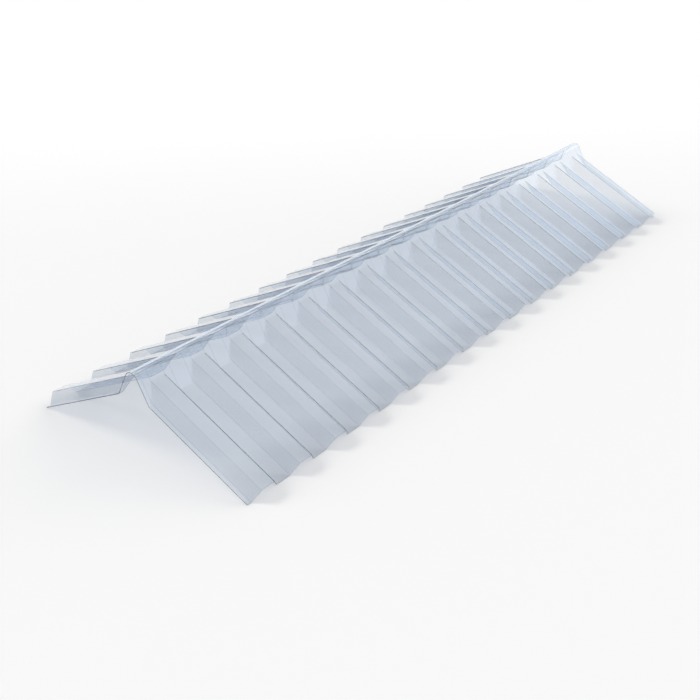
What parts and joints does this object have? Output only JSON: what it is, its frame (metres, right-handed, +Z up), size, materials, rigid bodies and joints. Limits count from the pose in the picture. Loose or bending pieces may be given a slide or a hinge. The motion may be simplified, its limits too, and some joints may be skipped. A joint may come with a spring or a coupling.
{
  "type": "roof ridge cap",
  "caption": "Clear corrugated roof ridge cap: one bent sheet with a raised roll along the ridge and a ribbed wing down each slope, laid over the gap between two roof slopes.",
  "frame": {"origin": "on the floor, midway between the two ends and the two feet", "axes": "+X along the ridge, +Y across it towards the rear wing, +Z up"},
  "size_m": [1.2826, 0.41, 0.1254],
  "materials": {
    "clear_sheet": "clear polycarbonate, faintly blue"
  },
  "bodies": {
    "root": {"ridge_cap": "clear_sheet"}
  },
  "joints": []
}
